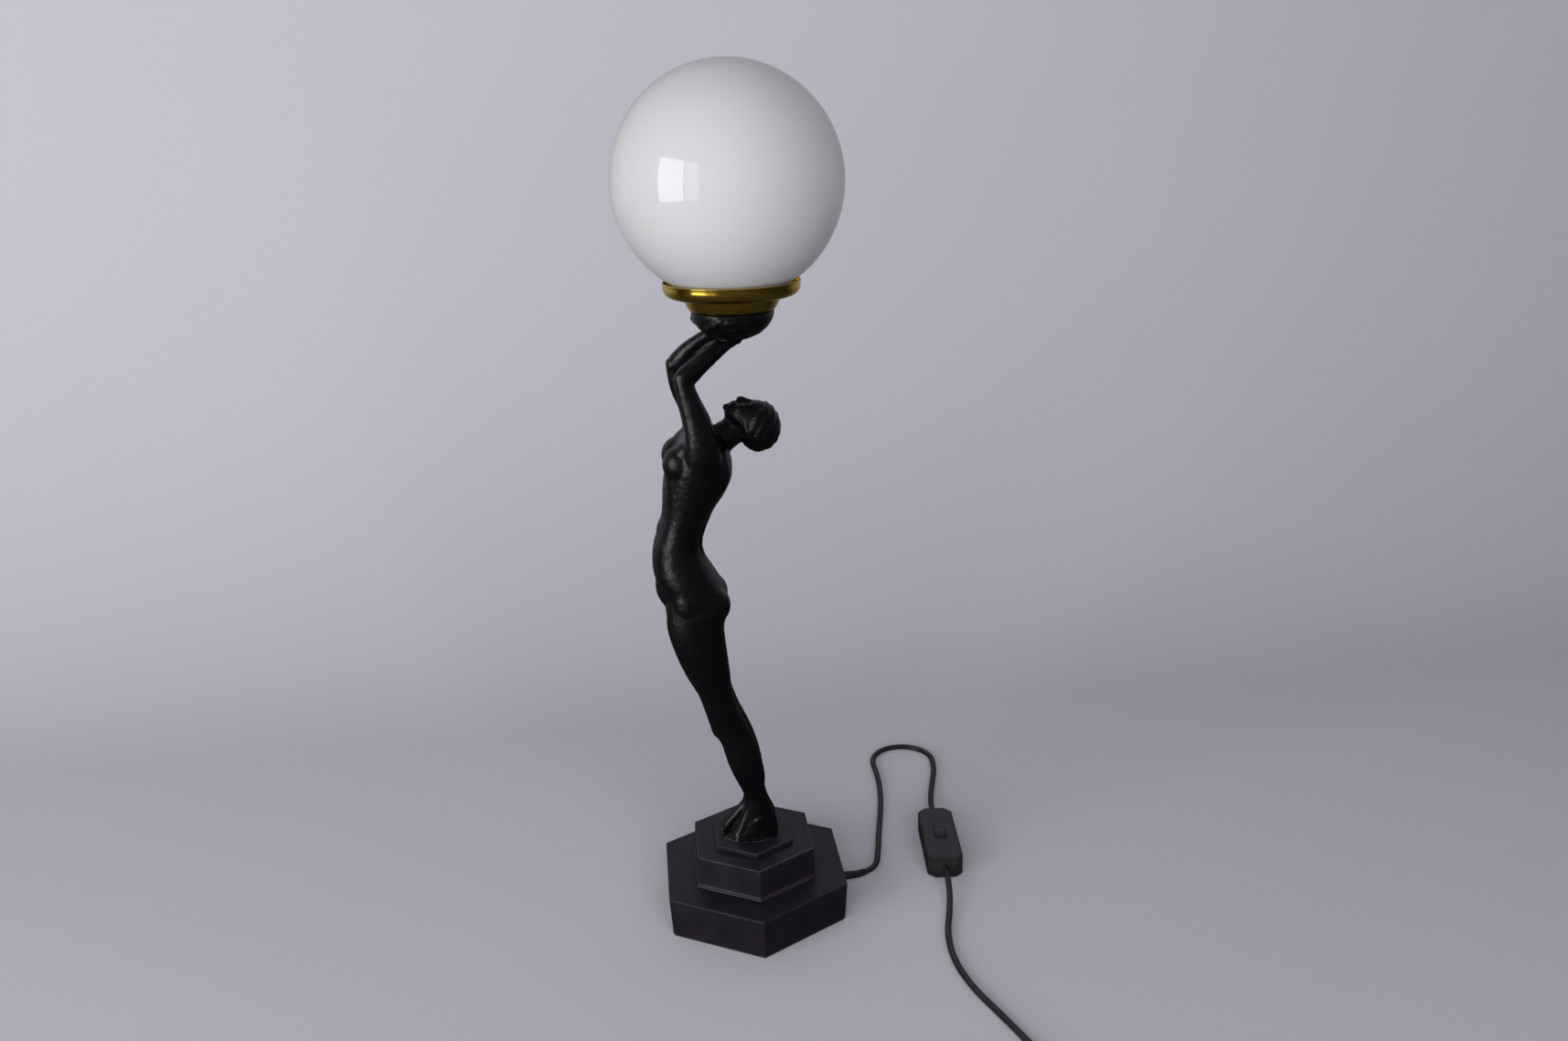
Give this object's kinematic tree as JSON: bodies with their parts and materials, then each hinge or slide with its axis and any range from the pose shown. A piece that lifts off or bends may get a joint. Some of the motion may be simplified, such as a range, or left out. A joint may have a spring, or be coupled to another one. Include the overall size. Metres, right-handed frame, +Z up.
{
  "type": "figural table lamp",
  "caption": "Table lamp: a black figure of a woman leaning back on a stepped hexagonal base holds a brass gallery with a round opal glass globe; cord with inline switch and flat plug.",
  "frame": {"origin": "on the surface that the lamp stands on, under the centre of the base, on the axis of the globe", "axes": "+Z up along the lamp's axis; the figure faces -X; the cord leaves the base at +X; the base's corners point along +Y and -Y"},
  "size_m": [0.2584, 0.5308, 0.609],
  "materials": {
    "black_lacquer": "satin",
    "polished_brass": "polished",
    "contact_brass": "satin",
    "opal_glass": "gloss",
    "bulb_glass": "frosted",
    "brown_moulding": "gloss",
    "black_plastic": "satin",
    "black_cord": "satin",
    "rubber": "matte",
    "felt": "matte",
    "steel": "satin",
    "spring_steel": "satin",
    "plated_pins": "polished"
  },
  "bodies": {
    "lamp": {"felt_pad": "felt", "plinth_lower": "black_lacquer", "plinth_upper": "black_lacquer", "threaded_tubes": "steel", "tie_nut": "steel", "figure": "black_lacquer", "gallery_foot": "polished_brass", "gallery_cup": "polished_brass", "seat_ring": "rubber", "globe_clip_1": "spring_steel", "globe_clip_2": "spring_steel", "globe_clip_3": "spring_steel", "holder_cap": "brown_moulding", "holder_shell": "brown_moulding", "holder_contacts": "contact_brass", "cord_bush": "rubber", "clamp_bar": "steel", "clamp_screws": "steel", "cord_tail": "black_cord", "riser_wires": "black_cord", "switch_bottom": "black_plastic", "switch_top": "black_plastic", "switch_screws": "steel", "switch_terminals": "contact_brass", "cord_front": "black_cord", "cord_rear": "black_cord", "cord_coil": "black_cord", "cord_end": "black_cord", "plug_body": "black_plastic", "plug_pins": "plated_pins", "plug_sleeve": "rubber"},
    "globe": {"globe": "opal_glass"},
    "bulb": {"bulb_cap": "contact_brass", "bulb_glass": "bulb_glass"},
    "rocker": {"switch_rocker": "black_plastic"}
  },
  "joints": [
    {"name": "globe_lift", "type": "slide", "parent": "lamp", "child": "globe", "axis": [0, 0, 1], "range_m": [0, 0.12]},
    {"name": "bulb_out", "type": "slide", "parent": "lamp", "child": "bulb", "axis": [0, 0, 1], "range_m": [0, 0.028]},
    {"name": "rocker_tilt", "type": "hinge", "parent": "lamp", "child": "rocker", "pos_m": [0.154, 0.04, 0.0142], "axis": [0.9951, -0.0993, 0], "range_deg": [0, 16]}
  ]
}
